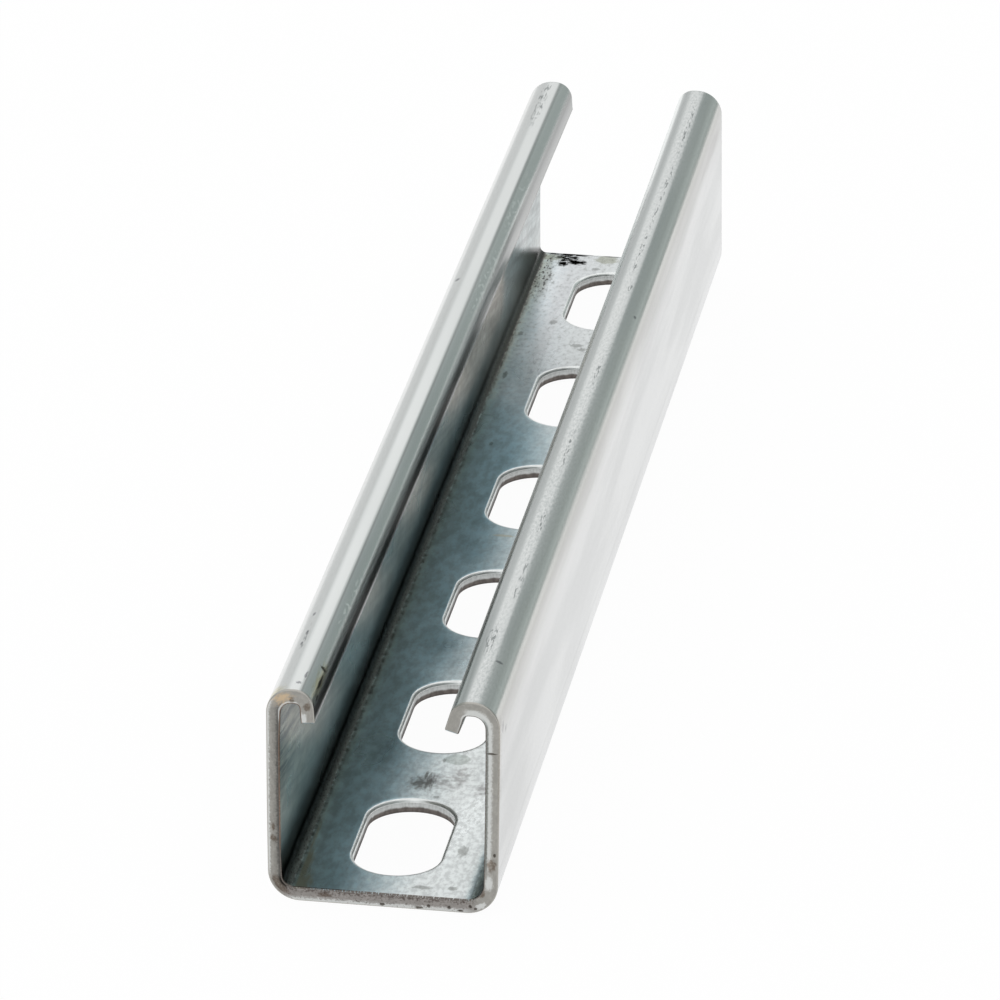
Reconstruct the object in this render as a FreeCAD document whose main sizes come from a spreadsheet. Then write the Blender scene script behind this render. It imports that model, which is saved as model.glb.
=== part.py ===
import FreeCAD, Part
import math
import os
import Sketcher

# Strut channel: one length of cold-rolled, zinc-coated steel strip.
#
# It lies on its web with the open side up. X runs across the channel, Y along
# it and Z up. The origin is at the middle of the web's underside, so the cut
# ends stand at equal distances on -Y and +Y. Every length is in millimetres.

NODE = "strut_channel"

# The driving dimensions, each with what it measures.
SIZES = {
    "channel_width": (41.3, "outside width across the two walls"),
    "channel_height": (41.3, "height from the web's underside to the top of the lips"),
    "channel_length": (301.6, "length between the cut ends"),
    "steel_thickness": (2.6, "thickness of the strip"),
    "web_bend_inside": (2.9, "inside radius of the bends between the web and the walls"),
    "shoulder_inside": (1.9, "inside radius of the bends at the top of the walls"),
    "lip_bend_inside": (0.9, "inside radius of the bends where the lips turn down"),
    "lip_flat": (1.0, "level strip between a shoulder bend and a lip bend"),
    "return_straight": (3.1, "straight run of a lip below its bend"),
    "return_lean": (6.0, "degrees that the straight run leans towards the mouth"),
    "slot_length": (30.2, "slot in the web, end to end"),
    "slot_width": (15.6, "slot in the web, side to side"),
    "slot_pitch": (50.8, "distance from one slot's centre to the next"),
    "near_end_web": (8.0, "web left between the near cut end and the first slot"),
    "slot_rim_radius": (0.35, "rounding that the punch leaves on the slots' upper rims"),
    "cut_edge_bevel": (0.2, "bevel along the edges of the cut ends"),
}

# Two lengths closer than this are taken as equal, when edges are picked by place.
CLOSE = 1e-5


def value(alias):
    return SIZES[alias][0]


def make_sheet(doc):
    """Spreadsheet with one driving dimension a row: its name, its value, what it measures."""
    sheet = doc.addObject("Spreadsheet::Sheet", "sizes")
    for row, (alias, (number, meaning)) in enumerate(SIZES.items(), start=1):
        sheet.set(f"A{row}", alias)
        sheet.set(f"B{row}", str(number))
        sheet.set(f"C{row}", meaning)
        sheet.setAlias(f"B{row}", alias)
    doc.recompute()
    return sheet


def origin_feature(body, role):
    return next(item for item in body.Origin.OriginFeatures if item.Role == role)


def new_sketch(body, name, plane_role):
    sketch = body.newObject("Sketcher::SketchObject", name)
    sketch.AttachmentSupport = (origin_feature(body, plane_role), [""])
    sketch.MapMode = "FlatFace"
    return sketch


def bind(sketch, kind, targets, start_value, expression):
    """Adds a dimension to the sketch and ties it to the sheet."""
    index = sketch.addConstraint(Sketcher.Constraint(kind, *targets, start_value))
    sketch.setExpression(f"Constraints[{index}]", expression)


def line(start, end):
    return Part.LineSegment(FreeCAD.Vector(*start, 0), FreeCAD.Vector(*end, 0))


def arc(centre, radius, first_degrees, last_degrees):
    circle = Part.Circle(FreeCAD.Vector(*centre, 0), FreeCAD.Vector(0, 0, 1), radius)
    return Part.ArcOfCircle(circle, math.radians(first_degrees), math.radians(last_degrees))


def draw_half_section(sketch):
    """Right half of the channel's section, from the middle of the web to the end of the lip.

    The outer line is followed up and over, the inner line back at one thickness
    inside it. Each bend is a pair of arcs about one centre.
    """
    thickness = value("steel_thickness")
    half_width = value("channel_width") / 2
    height = value("channel_height")
    web_inside = value("web_bend_inside")
    shoulder_inside = value("shoulder_inside")
    lip_inside = value("lip_bend_inside")
    web_outside = web_inside + thickness
    shoulder_outside = shoulder_inside + thickness
    lip_outside = lip_inside + thickness
    lean = math.radians(value("return_lean"))

    # Bend centres, and the straight run's direction and the way from its face into the steel.
    web_centre = (half_width - web_outside, web_outside)
    shoulder_centre = (half_width - shoulder_outside, height - shoulder_outside)
    lip_centre = (shoulder_centre[0] - value("lip_flat"), height - lip_outside)
    upwards = (math.sin(lean), math.cos(lean))
    inwards = (math.cos(lean), -math.sin(lean))

    def on_lip(radius, drop):
        """Point on the straight run at this radius of the lip bend, this far below the bend."""
        return (lip_centre[0] - radius * inwards[0] - drop * upwards[0],
                lip_centre[1] - radius * inwards[1] - drop * upwards[1])

    straight = value("return_straight")
    outline = {
        "web_under": line((0, 0), (web_centre[0], 0)),
        "web_bend_out": arc(web_centre, web_outside, -90, 0),
        "wall_out": line((half_width, web_centre[1]), (half_width, shoulder_centre[1])),
        "shoulder_out": arc(shoulder_centre, shoulder_outside, 0, 90),
        "lip_top": line((shoulder_centre[0], height), (lip_centre[0], height)),
        "lip_bend_out": arc(lip_centre, lip_outside, 90, 180 - value("return_lean")),
        "return_face": line(on_lip(lip_outside, straight), on_lip(lip_outside, 0)),
        "return_end": line(on_lip(lip_outside, straight), on_lip(lip_inside, straight)),
        "return_back": line(on_lip(lip_inside, straight), on_lip(lip_inside, 0)),
        "lip_bend_in": arc(lip_centre, lip_inside, 90, 180 - value("return_lean")),
        "lip_under": line((lip_centre[0], height - thickness),
                          (shoulder_centre[0], height - thickness)),
        "shoulder_in": arc(shoulder_centre, shoulder_inside, 0, 90),
        "wall_in": line((half_width - thickness, shoulder_centre[1]),
                        (half_width - thickness, web_centre[1])),
        "web_bend_in": arc(web_centre, web_inside, -90, 0),
        "web_top": line((web_centre[0], thickness), (0, thickness)),
        "middle": line((0, thickness), (0, 0)),
    }
    part = {name: sketch.addGeometry(curve, False) for name, curve in outline.items()}
    start, end, centre = 1, 2, 3
    root = (-1, 1)

    smooth_joints = (
        ("web_under", end, "web_bend_out", start),
        ("web_bend_out", end, "wall_out", start),
        ("wall_out", end, "shoulder_out", start),
        ("shoulder_out", end, "lip_top", start),
        ("lip_top", end, "lip_bend_out", start),
        ("lip_bend_out", end, "return_face", end),
        ("return_back", end, "lip_bend_in", end),
        ("lip_bend_in", start, "lip_under", start),
        ("lip_under", end, "shoulder_in", end),
        ("shoulder_in", start, "wall_in", start),
        ("wall_in", end, "web_bend_in", end),
        ("web_bend_in", start, "web_top", start),
    )
    for first, first_point, second, second_point in smooth_joints:
        sketch.addConstraint(
            Sketcher.Constraint("Tangent", part[first], first_point, part[second], second_point))

    shared_points = (
        ("return_face", start, "return_end", start),
        ("return_end", end, "return_back", start),
        ("web_top", end, "middle", start),
        ("middle", end, "web_under", start),
        ("web_bend_out", centre, "web_bend_in", centre),
        ("shoulder_out", centre, "shoulder_in", centre),
        ("lip_bend_out", centre, "lip_bend_in", centre),
    )
    for first, first_point, second, second_point in shared_points:
        sketch.addConstraint(
            Sketcher.Constraint("Coincident", part[first], first_point, part[second], second_point))
    sketch.addConstraint(Sketcher.Constraint("Coincident", part["web_under"], start, *root))

    for name in ("web_under", "web_top", "lip_top"):
        sketch.addConstraint(Sketcher.Constraint("Horizontal", part[name]))
    for name in ("wall_out", "middle"):
        sketch.addConstraint(Sketcher.Constraint("Vertical", part[name]))
    sketch.addConstraint(
        Sketcher.Constraint("Perpendicular", part["return_end"], part["return_face"]))
    sketch.addConstraint(Sketcher.Constraint("Parallel", part["return_back"], part["return_face"]))

    bind(sketch, "DistanceX", (*root, part["wall_out"], start), half_width,
         "sizes.channel_width / 2")
    bind(sketch, "DistanceY", (*root, part["lip_top"], start), height, "sizes.channel_height")
    bind(sketch, "Radius", (part["web_bend_in"],), web_inside, "sizes.web_bend_inside")
    bind(sketch, "Radius", (part["shoulder_in"],), shoulder_inside, "sizes.shoulder_inside")
    bind(sketch, "Radius", (part["lip_bend_in"],), lip_inside, "sizes.lip_bend_inside")
    bind(sketch, "Radius", (part["web_bend_out"],), web_outside,
         "sizes.web_bend_inside + sizes.steel_thickness")
    bind(sketch, "Radius", (part["shoulder_out"],), shoulder_outside,
         "sizes.shoulder_inside + sizes.steel_thickness")
    bind(sketch, "Radius", (part["lip_bend_out"],), lip_outside,
         "sizes.lip_bend_inside + sizes.steel_thickness")
    bind(sketch, "Distance", (part["lip_top"],), value("lip_flat"), "sizes.lip_flat")
    bind(sketch, "Distance", (part["return_face"],), straight, "sizes.return_straight")
    bind(sketch, "Angle", (part["return_face"],), math.pi / 2 - lean,
         "90 deg - sizes.return_lean * 1 deg")


def roll_channel(body):
    """The strip's half section along the whole length, and its mirror image across the middle."""
    sketch = new_sketch(body, "half_section", "XZ_Plane")
    draw_half_section(sketch)
    body.Document.recompute()

    half = body.newObject("PartDesign::Pad", "half_channel")
    half.Profile = sketch
    half.SideType = "Symmetric"
    half.setExpression("Length", "sizes.channel_length")
    body.Document.recompute()

    whole = body.newObject("PartDesign::Mirrored", "both_halves")
    whole.Originals = [half]
    whole.MirrorPlane = (origin_feature(body, "YZ_Plane"), [""])
    whole.Refine = True
    body.Tip = whole
    body.Document.recompute()
    return whole


def draw_first_slot(sketch):
    """A slot with half-round ends, along Y, its near end one strip of web from the cut end."""
    radius = value("slot_width") / 2
    straight = value("slot_length") - value("slot_width")
    low = -value("channel_length") / 2 + value("near_end_web") + radius
    high = low + straight
    near_end = sketch.addGeometry(arc((0, low), radius, 180, 360), False)
    right = sketch.addGeometry(line((radius, low), (radius, high)), False)
    far_end = sketch.addGeometry(arc((0, high), radius, 0, 180), False)
    left = sketch.addGeometry(line((-radius, high), (-radius, low)), False)

    start, end, centre = 1, 2, 3
    ring = ((near_end, end, right, start), (right, end, far_end, start),
            (far_end, end, left, start), (left, end, near_end, start))
    for first, first_point, second, second_point in ring:
        sketch.addConstraint(
            Sketcher.Constraint("Tangent", first, first_point, second, second_point))
    sketch.addConstraint(Sketcher.Constraint("PointOnObject", near_end, centre, -2))
    for side in (right, left):
        sketch.addConstraint(Sketcher.Constraint("Vertical", side))

    bind(sketch, "Radius", (near_end,), radius, "sizes.slot_width / 2")
    bind(sketch, "DistanceY", (near_end, centre, far_end, centre), straight,
         "sizes.slot_length - sizes.slot_width")
    bind(sketch, "DistanceY", (near_end, centre, -1, 1), -low,
         "sizes.channel_length / 2 - sizes.near_end_web - sizes.slot_width / 2")


def punch_slots(body):
    """The row of slots through the web: as many whole ones as the length holds."""
    sketch = new_sketch(body, "first_slot", "XY_Plane")
    draw_first_slot(sketch)
    body.Document.recompute()

    # The punch stroke is centred on the web's underside and goes half a thickness past its top.
    slot = body.newObject("PartDesign::Pocket", "slot")
    slot.Profile = sketch
    slot.SideType = "Symmetric"
    slot.setExpression("Length", "3 * sizes.steel_thickness")
    body.Document.recompute()

    row = body.newObject("PartDesign::LinearPattern", "slot_row")
    row.Originals = [slot]
    row.Direction = (origin_feature(body, "Y_Axis"), [""])
    row.Mode = "Spacing"
    row.setExpression("Offset", "sizes.slot_pitch")
    row.setExpression("Occurrences",
                      "floor((sizes.channel_length - sizes.near_end_web - sizes.slot_length)"
                      " / sizes.slot_pitch) + 1")
    body.Tip = row
    body.Document.recompute()
    return row


def edges_where(shape, test):
    """Names of the shape's edges of which every vertex passes the test."""
    return [f"Edge{number}" for number, edge in enumerate(shape.Edges, start=1)
            if all(test(vertex.Point) for vertex in edge.Vertexes)]


def soften_edges(body, row):
    """Rounds the slots' upper rims, and bevels both sides of the cut ends."""
    rim_reach = value("slot_width") / 2 + CLOSE
    web_top = value("steel_thickness")
    slot_rims = edges_where(
        row.Shape, lambda point: abs(point.z - web_top) < CLOSE and abs(point.x) < rim_reach)
    rims = body.newObject("PartDesign::Fillet", "rolled_rims")
    rims.Base = (row, slot_rims)
    rims.setExpression("Radius", "sizes.slot_rim_radius")
    body.Document.recompute()

    end_place = value("channel_length") / 2
    end_edges = edges_where(
        rims.Shape, lambda point: abs(abs(point.y) - end_place) < CLOSE)
    bevels = body.newObject("PartDesign::Chamfer", "end_bevels")
    bevels.Base = (rims, end_edges)
    bevels.setExpression("Size", "sizes.cut_edge_bevel")
    body.Tip = bevels
    body.Document.recompute()


def check_document(doc):
    """Stops with a message if a feature failed or a shape isn't sound."""
    for item in doc.Objects:
        if "Invalid" in item.State or "Error" in item.State:
            raise RuntimeError(f"{item.Name} failed: {item.State}")
        if hasattr(item, "Shape") and item.isDerivedFrom("PartDesign::Feature"):
            if item.Shape.isNull() or not item.Shape.isValid():
                raise RuntimeError(f"{item.Name} has no valid shape")
        if item.isDerivedFrom("Sketcher::SketchObject") and not item.FullyConstrained:
            raise RuntimeError(f"{item.Name} isn't fully constrained")


def check_slots(whole, row):
    """Stops if the punched slots didn't take the steel that so many slots hold."""
    radius = value("slot_width") / 2
    slot_area = math.pi * radius ** 2 + (value("slot_length") - value("slot_width")) * 2 * radius
    expected = row.Occurrences * slot_area * value("steel_thickness")
    taken = whole.Shape.Volume - row.Shape.Volume
    if abs(taken - expected) > 1e-3 * expected:
        raise RuntimeError(f"the slots take {taken:.1f} mm3, not {expected:.1f}")


def main():
    doc = FreeCAD.newDocument("strut_channel_model")
    make_sheet(doc)
    body = doc.addObject("PartDesign::Body", NODE)
    body.Label = NODE
    body.Placement = FreeCAD.Placement()
    whole = roll_channel(body)
    row = punch_slots(body)
    soften_edges(body, row)
    doc.recompute()

    check_document(doc)
    check_slots(whole, row)
    if body.Shape.isNull() or not body.Shape.isValid() or len(body.Shape.Solids) != 1:
        raise RuntimeError("the channel isn't one valid solid")

    os.makedirs("parts", exist_ok=True)
    body.Shape.exportStep(f"parts/{NODE}.step")
    box = body.Shape.BoundBox
    print(f"{NODE}: {box.XLength:.3f} x {box.YLength:.3f} x {box.ZLength:.3f} mm,"
          f" {row.Occurrences} slots, {body.Shape.Volume:.0f} mm3")


main()
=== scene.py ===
"""A slotted strut channel lying on a pale floor, with its mouth up.

The channel is one strip of zinc-coated steel. Its section is carried along its length, its
slots are set into the web, and its finish is worked out from where a point lies on the strip,
in millimetres across it from the web's middle and along it from the near end.
"""

import math

import bpy
import numpy as np
from mathutils import Matrix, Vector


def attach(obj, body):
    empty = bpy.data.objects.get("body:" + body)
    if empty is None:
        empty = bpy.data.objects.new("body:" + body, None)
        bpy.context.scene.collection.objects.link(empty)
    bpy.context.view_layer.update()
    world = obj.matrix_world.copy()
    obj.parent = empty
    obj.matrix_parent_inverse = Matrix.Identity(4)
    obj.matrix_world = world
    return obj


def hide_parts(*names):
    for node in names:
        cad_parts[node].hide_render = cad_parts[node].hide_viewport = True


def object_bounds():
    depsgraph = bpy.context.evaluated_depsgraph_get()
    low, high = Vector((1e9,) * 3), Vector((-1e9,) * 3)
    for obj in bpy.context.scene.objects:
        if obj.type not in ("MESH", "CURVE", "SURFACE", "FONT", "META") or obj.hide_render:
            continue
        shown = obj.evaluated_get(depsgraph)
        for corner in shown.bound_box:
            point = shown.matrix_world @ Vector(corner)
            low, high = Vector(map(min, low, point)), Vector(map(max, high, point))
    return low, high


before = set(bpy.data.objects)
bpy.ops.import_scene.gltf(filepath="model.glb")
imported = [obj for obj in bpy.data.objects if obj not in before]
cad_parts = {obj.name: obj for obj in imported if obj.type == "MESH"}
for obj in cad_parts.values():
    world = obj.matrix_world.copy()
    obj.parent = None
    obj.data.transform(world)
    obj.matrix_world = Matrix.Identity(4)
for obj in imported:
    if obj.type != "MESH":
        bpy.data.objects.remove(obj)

bl_info = {
    "name": "Strut Channel",
    "version": (1, 0, 0),
    "blender": (4, 5, 0),
    "location": "View3D > Sidebar > Strut",
    "description": "Builds a slotted strut channel and the plain stage it lies on",
    "category": "Add Mesh",
}

NODE = "strut_channel"
BOX_LOW, BOX_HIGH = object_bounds()
LENGTH = BOX_HIGH.y - BOX_LOW.y
NEAR_END = BOX_LOW.y
ACROSS_OFFSET = 0.1

OUTSIDE, INSIDE, CUT_FACE, SLOT_WALL, SLOT_RIM, LIP_EDGE = range(6)


def length(name, metres, text):
    """A length in metres that a user can change."""
    return bpy.props.FloatProperty(
        name=name, default=metres, precision=5, unit="LENGTH", subtype="DISTANCE", description=text
    )


def angle(name, degrees, text):
    """An angle, given in degrees, that a user can change."""
    return bpy.props.FloatProperty(
        name=name, default=math.radians(degrees), unit="ROTATION", subtype="ANGLE", description=text
    )


def colour(name, red, green, blue, text):
    """A colour in linear light that a user can change."""
    return bpy.props.FloatVectorProperty(
        name=name, default=(red, green, blue), size=3, min=0.0, max=1.0, subtype="COLOR",
        description=text,
    )


def share(name, value, text, top=1.0):
    """A plain factor that a user can change."""
    return bpy.props.FloatProperty(
        name=name, default=value, min=0.0, max=top, subtype="FACTOR", description=text
    )


class ChannelSizes(bpy.types.PropertyGroup):
    """Sizes of the channel's section, its slots and its flared ends."""

    thickness: length("Steel thickness", 0.0026, "Thickness of the strip")
    wall_half: length("Half width", 0.02035, "From the middle to a wall's outer face")
    height: length("Height", 0.04064, "From the floor to the lips' tops")
    web_bend: length("Web bend", 0.0055, "Outer radius between web and wall")
    left_shoulder: length("Left shoulder", 0.0045, "Outer radius between left wall and lip")
    right_shoulder: length("Right shoulder", 0.0049, "Outer radius between right wall and lip")
    inner_left_near: length("Left inner bend, near", 0.0020, "Its inner radius at the near end")
    inner_left_far: length("Left inner bend, far", 0.0013, "Its inner radius at the far end")
    inner_right: length("Right inner bend", 0.0029, "Inner radius of the right web bend")
    lip_bend: length("Lip bend", 0.0035, "Outer radius between a lip's top and its return")
    left_flat: length("Left lip flat", 0.00066, "Flat width on the left lip's top")
    right_flat: length("Right lip flat", 0.00074, "Flat width on the right lip's top")
    left_return: length("Left return", 0.00287, "Straight part of the left lip's return")
    right_return: length("Right return", 0.0031, "Straight part of the right lip's return")
    left_lean: angle("Left lean", 4.3, "Lean of the left return towards its wall")
    right_lean: angle("Right lean", 4.1, "Lean of the right return towards its wall")
    near_lean: angle("Near lean", 12.0, "Extra lean of the right return at the near end")
    near_lean_reach: length("Near lean reach", 0.020, "How far the extra lean fades in")
    left_near_flare: length("Left near flare", 0.00059, "Left wall's outward spring at the near end")
    right_near_flare: length("Right near flare", 0.00043, "Right wall's outward spring at the near end")
    left_far_flare: length("Left far flare", -0.00019, "Left wall's spring at the far end")
    right_far_flare: length("Right far flare", -0.00069, "Right wall's spring at the far end")
    left_far_bulge: length("Left far bulge", 0.00027, "Bulge of the left wall's middle at the far end")
    flare_reach: length("Flare reach", 0.055, "Distance over which a flare fades by two thirds")
    slot_length: length("Slot length", 0.0305, "Overall length of a slot")
    slot_width: length("Slot width", 0.0156, "Width of a slot")
    slot_pitch: length("Slot pitch", 0.0508, "From one slot's middle to the next")
    first_slot: length("First slot", 0.0231, "From the near end to the first slot's middle")
    left_worn: length("Left wall worn", 0.00022, "Steel missing from the left wall, near end")
    right_worn: length("Right wall worn", 0.00010, "Steel missing from the right wall, near end")
    rim_radius: length("Rim radius", 0.0006, "Rolled upper rim of a slot")
    cut_bevel: length("Cut bevel", 0.0002, "Worn edge of a cut end")
    corner_radius: length("Lip corner", 0.0003, "Rounding of a lip's free edge")


class ZincFinish(bpy.types.PropertyGroup):
    """Colours of the zinc coat, the bare cuts and the stains."""

    outside: colour("Outside zinc", 0.760, 0.785, 0.775, "Zinc on the outer faces")
    inside: colour("Inside zinc", 0.360, 0.450, 0.480, "Zinc on the inner faces")
    shade: colour("Dull zinc", 0.300, 0.340, 0.350, "Oxidised zinc in the channel's corners")
    cut: colour("Cut steel", 0.390, 0.380, 0.352, "Saw-cut ends")
    fracture: colour("Fracture", 0.205, 0.180, 0.165, "Torn lower part of a slot's wall")
    roughness: share("Roughness", 0.20, "Roughness of the zinc coat")
    inside_roughness: share("Inside roughness", 0.30, "Roughness of the dull zinc inside")


class StudioSettings(bpy.types.PropertyGroup):
    """The stage's floor, its light and the camera."""

    floor: colour("Floor", 0.93, 0.93, 0.93, "Plain pale floor")
    room: colour("Room", 0.72, 0.73, 0.73, "The room's pale walls, as the metal sees them")
    dim_side: colour("Dim side", 0.36, 0.40, 0.39, "The room's dim side, on the right")
    window: colour("Window", 1.0, 1.0, 1.0, "The bright window beyond the channel, and the ceiling")
    sky: share("Sky level", 1.0, "Brightness of the white surroundings", top=4.0)
    panel: share("Panel level", 2.0, "Power of the overhead panel in watts", top=50.0)
    azimuth: angle("Azimuth", 8.722, "Camera's direction round the channel")
    elevation: angle("Elevation", 23.704, "Camera's height above the floor")
    roll: angle("Roll", -0.411, "Camera's turn about its own axis")
    distance: length("Distance", 1.5783, "From the camera to the channel's middle plane")
    focal: length("Focal length", 0.29791, "Lens for a sensor 36 mm wide")


def spread(start, stop, steps, last=False):
    """Evenly spaced values from start to stop in so many steps, the last one only if asked for."""
    values = np.linspace(start, stop, steps + 1)
    return values if last else values[:-1]


class Side:
    """One half of the section, seen from the web's middle, for rows at distances y."""

    def __init__(self, sizes, sign, y):
        self.sign = sign
        self.y = y[:, None]
        self.sizes = sizes
        left = sign < 0
        self.flat = sizes.left_flat if left else sizes.right_flat
        self.straight = sizes.left_return if left else sizes.right_return
        self.shoulder = sizes.left_shoulder if left else sizes.right_shoulder
        part = np.clip(self.y / LENGTH, 0.0, 1.0)
        swept = sizes.inner_left_near + (sizes.inner_left_far - sizes.inner_left_near) * part
        self.inner = swept if left else sizes.inner_right + 0.0 * part
        self.bulge = sizes.left_far_bulge if left else 0.0
        self.worn = sizes.left_worn if left else sizes.right_worn
        self.near = sizes.left_near_flare if left else sizes.right_near_flare
        self.far = sizes.left_far_flare if left else sizes.right_far_flare
        lean = sizes.left_lean if left else sizes.right_lean
        extra = 0.0 if left else sizes.near_lean
        self.lean = lean + extra * np.exp(-self.y / sizes.near_lean_reach)


BOX_GAP = 0.00002
WAVE_HEIGHT, WAVE_ALONG, WAVE_UP = 0.00003, 0.031, 0.02
WALL_BLEND = 0.001
WORN_RISE, WORN_TOP, WORN_FALL = 0.25, 0.92, 0.15
END_BAND = 0.002
END_ROWS = (0.0006, 0.0012)
ROW_STEP = 0.0015
BEVEL_STEPS = 3
SHARP_ANGLE = math.radians(38)

WEB_CELL_HALF = 0.012
WEB_STEPS = 14
STRIP_STEPS = 3
BEND_STEPS = 12
WALL_STEPS = 16
FLAT_STEPS = 2
RETURN_STEPS = 4
CORNER_STEPS = 3


def bend(centre, radius, depth, start, stop, steps):
    """Points on an arc: centre + (radius - depth) * (cos a, sin a), a running from start to stop."""
    turn = spread(0.0, 1.0, steps)[None, :]
    a = start + (stop - start) * turn
    reach = radius - depth
    return centre[0] + reach * np.cos(a), centre[1] + reach * np.sin(a)


def half_section(side, depth, inset):
    """Half a section as x and z, from the web cell's edge to the lip's free edge.

    depth is 0 on the outer face and the steel's thickness on the inner one. Straight parts lie
    at that depth under the outline, bends have their outer radius less that depth, the web bend's
    inner radius is its own, and inset pulls every point towards the middle of the steel, for the
    worn edge of a cut end.
    """
    s = side.sizes
    t = s.thickness
    inset = inset[:, None]
    d = np.clip(depth, inset, t - inset)
    rows = np.ones_like(d)
    right = s.wall_half
    web_radius = s.web_bend + rows * 0.0 if depth == 0.0 else side.inner + t
    web_centre = (right - web_radius, web_radius)
    top_centre = (right - side.shoulder, s.height - side.shoulder)
    lip_centre = (right - side.shoulder - side.flat, s.height - s.lip_bend)
    quarter = math.pi / 2
    xs, zs = [], []
    xs.append(WEB_CELL_HALF + (web_centre[0] - WEB_CELL_HALF) * spread(0.0, 1.0, STRIP_STEPS))
    zs.append(d + 0.0 * xs[-1])
    x, z = bend(web_centre, web_radius, d, -quarter, 0.0, BEND_STEPS)
    xs.append(x)
    zs.append(z)
    zs.append(web_centre[1] + (top_centre[1] - web_centre[1]) * spread(0.0, 1.0, WALL_STEPS))
    xs.append(right - d + 0.0 * zs[-1])
    x, z = bend(top_centre, side.shoulder, d, 0.0, quarter, BEND_STEPS)
    xs.append(x)
    zs.append(z)
    xs.append(rows * spread(top_centre[0], lip_centre[0], FLAT_STEPS))
    zs.append(s.height - d + 0.0 * xs[-1])
    x, z = bend(lip_centre, s.lip_bend, d, quarter, math.pi - side.lean, BEND_STEPS)
    xs.append(x)
    zs.append(z)
    reach = side.straight - s.corner_radius
    phi = spread(0.0, quarter, CORNER_STEPS, last=True)
    corner = s.corner_radius - inset
    down = rows * spread(0.0, reach, RETURN_STEPS)
    along = np.concatenate([down, reach + corner * np.sin(phi)], axis=1)
    sunk = np.concatenate([inset + 0.0 * down, s.corner_radius - corner * np.cos(phi)], axis=1)
    level = sunk if depth == 0.0 else t - sunk
    cos, sin = np.cos(side.lean), np.sin(side.lean)
    xs.append(lip_centre[0] - (s.lip_bend - level) * cos - along * sin)
    zs.append(lip_centre[1] + (s.lip_bend - level) * sin - along * cos)
    return np.concatenate(xs, axis=1), np.concatenate(zs, axis=1)


def sprung(side, x, z, depth):
    """The half section's x with the ends' spring and the rolled strip's long soft waves.

    A wall leans by near * exp(-y/reach) + far * exp(-(L-y)/reach), growing evenly with height,
    and its middle stands out at the far end as half a sine wave. An outward lean bows over to
    room * tanh(lean/room), so it never leaves the box, and what a wall can't lean goes into its
    lip. The inner face of a wall stands back by its wear, which fades from the near end.
    """
    s = side.sizes
    fade = np.exp(-side.y / s.flare_reach)
    fade_far = np.exp(-(LENGTH - side.y) / s.flare_reach)
    lean = side.near * fade + side.far * fade_far
    room = BOX_HIGH.x - s.wall_half - BOX_GAP
    towards_lip = np.clip((s.wall_half - s.thickness - x) / (side.shoulder + s.lip_bend), 0.0, 1.0)
    rise = np.clip(z / s.height, 0.0, 1.0)
    wave = WAVE_HEIGHT * np.sin(side.y / WAVE_ALONG + z / WAVE_UP + side.sign) * rise
    out = lean * rise
    held = np.where(out > 0.0, room * np.tanh(out / room), out)
    held = held + (out - held) * towards_lip
    on_wall = np.clip((x - s.wall_half + s.thickness) / WALL_BLEND + 1.0, 0.0, 1.0)
    bulge = side.bulge * fade_far * np.sin(math.pi * rise) * on_wall
    mid_height = np.clip(rise / WORN_RISE, 0.0, 1.0) * np.clip((WORN_TOP - rise) / WORN_FALL, 0.0, 1.0)
    worn = side.worn * fade * mid_height * on_wall if depth > 0.0 else 0.0
    return x + held + bulge + worn + np.minimum(wave, 0.0)


def rows_along(sizes):
    """Distances of the rows from the near end, their inset, and the rows where slot cells meet."""
    b = sizes.cut_bevel
    phi = spread(0.0, math.pi / 2, BEVEL_STEPS, last=True)
    start_y = b * (1.0 - np.cos(phi))
    start_inset = b * (1.0 - np.sin(phi))
    count = int((LENGTH - sizes.first_slot - sizes.slot_length / 2) / sizes.slot_pitch) + 1
    middles = sizes.first_slot + sizes.slot_pitch * np.arange(count)
    borders = np.concatenate([[END_BAND], (middles[:-1] + middles[1:]) / 2, [LENGTH - END_BAND]])
    steps = np.round(np.diff(borders) / ROW_STEP).astype(int)
    inner = [spread(a, z, n) for a, z, n in zip(borders[:-1], borders[1:], steps)]
    near = np.concatenate([start_y, END_ROWS])
    y = np.concatenate([near, *inner, [LENGTH - END_BAND], LENGTH - near[::-1]])
    inset = np.zeros(len(y))
    inset[: len(start_inset)] = start_inset
    inset[-len(start_inset) :] = start_inset[::-1]
    first = len(near)
    border_rows = first + np.concatenate([[0], np.cumsum(steps)])
    return y, inset, middles, border_rows


def slot_loop(distance, radius, half_straight, offset):
    """Points round a slot that is offset outwards, for distances round its nominal edge.

    The loop is the right side, the far half round, the left side and the near half round. A point
    is its centre (0, c) plus (radius + offset) * (cos a, sin a), with a kept at 0 or pi on a side.
    """
    side, half_round = 2 * half_straight, math.pi * radius
    d = np.mod(distance, 2 * (side + half_round))
    parts = [d < side, d < side + half_round, d < 2 * side + half_round]
    centre = np.select(
        parts,
        [d - half_straight, 0 * d + half_straight, half_straight - (d - side - half_round)],
        -half_straight,
    )
    a = np.select(
        parts,
        [0 * d, (d - side) / radius, 0 * d + math.pi],
        math.pi + (d - 2 * side - half_round) / radius,
    )
    reach = radius + offset
    return reach * np.cos(a), centre + reach * np.sin(a)


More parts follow.
